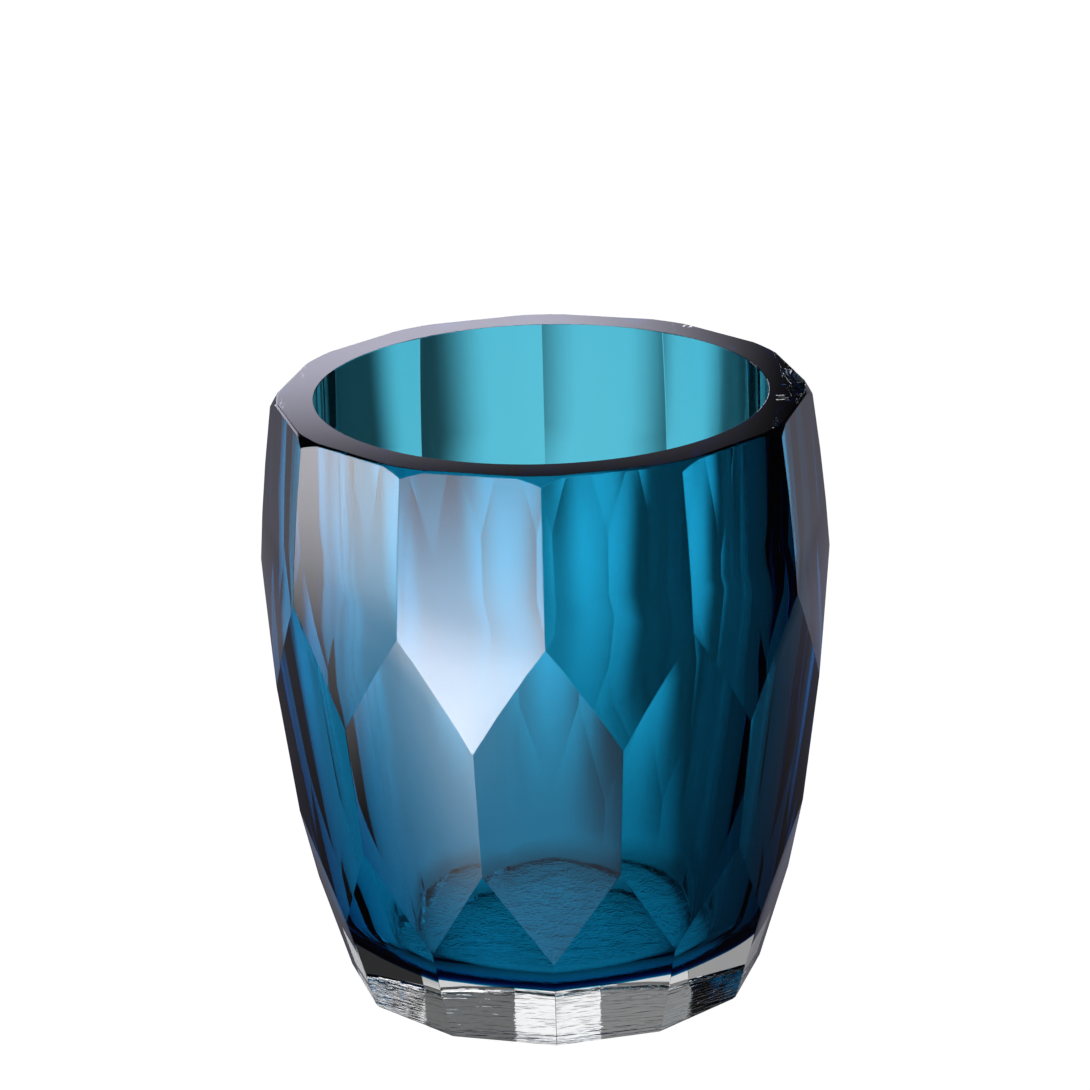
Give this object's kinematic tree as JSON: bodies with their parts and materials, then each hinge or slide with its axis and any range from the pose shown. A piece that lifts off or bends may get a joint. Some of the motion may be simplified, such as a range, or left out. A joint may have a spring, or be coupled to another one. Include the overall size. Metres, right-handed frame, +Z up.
{
  "type": "cut crystal vase",
  "caption": "Heavy open-topped vase of clear cut crystal cased over a thin blue inner lining, ground with three rows of flat facets, for holding flowers.",
  "frame": {"origin": "centre of the base, on the face the vase stands on", "axes": "+Z up through the mouth; +X to the right and +Y away when seen from the front"},
  "size_m": [0.1942, 0.1942, 0.21],
  "materials": {
    "clear_crystal": "polished clear lead crystal",
    "blue_glass": "transparent blue glass, fire polished"
  },
  "bodies": {
    "root": {"clear_casing": "clear_crystal", "blue_lining": "blue_glass"}
  },
  "joints": []
}
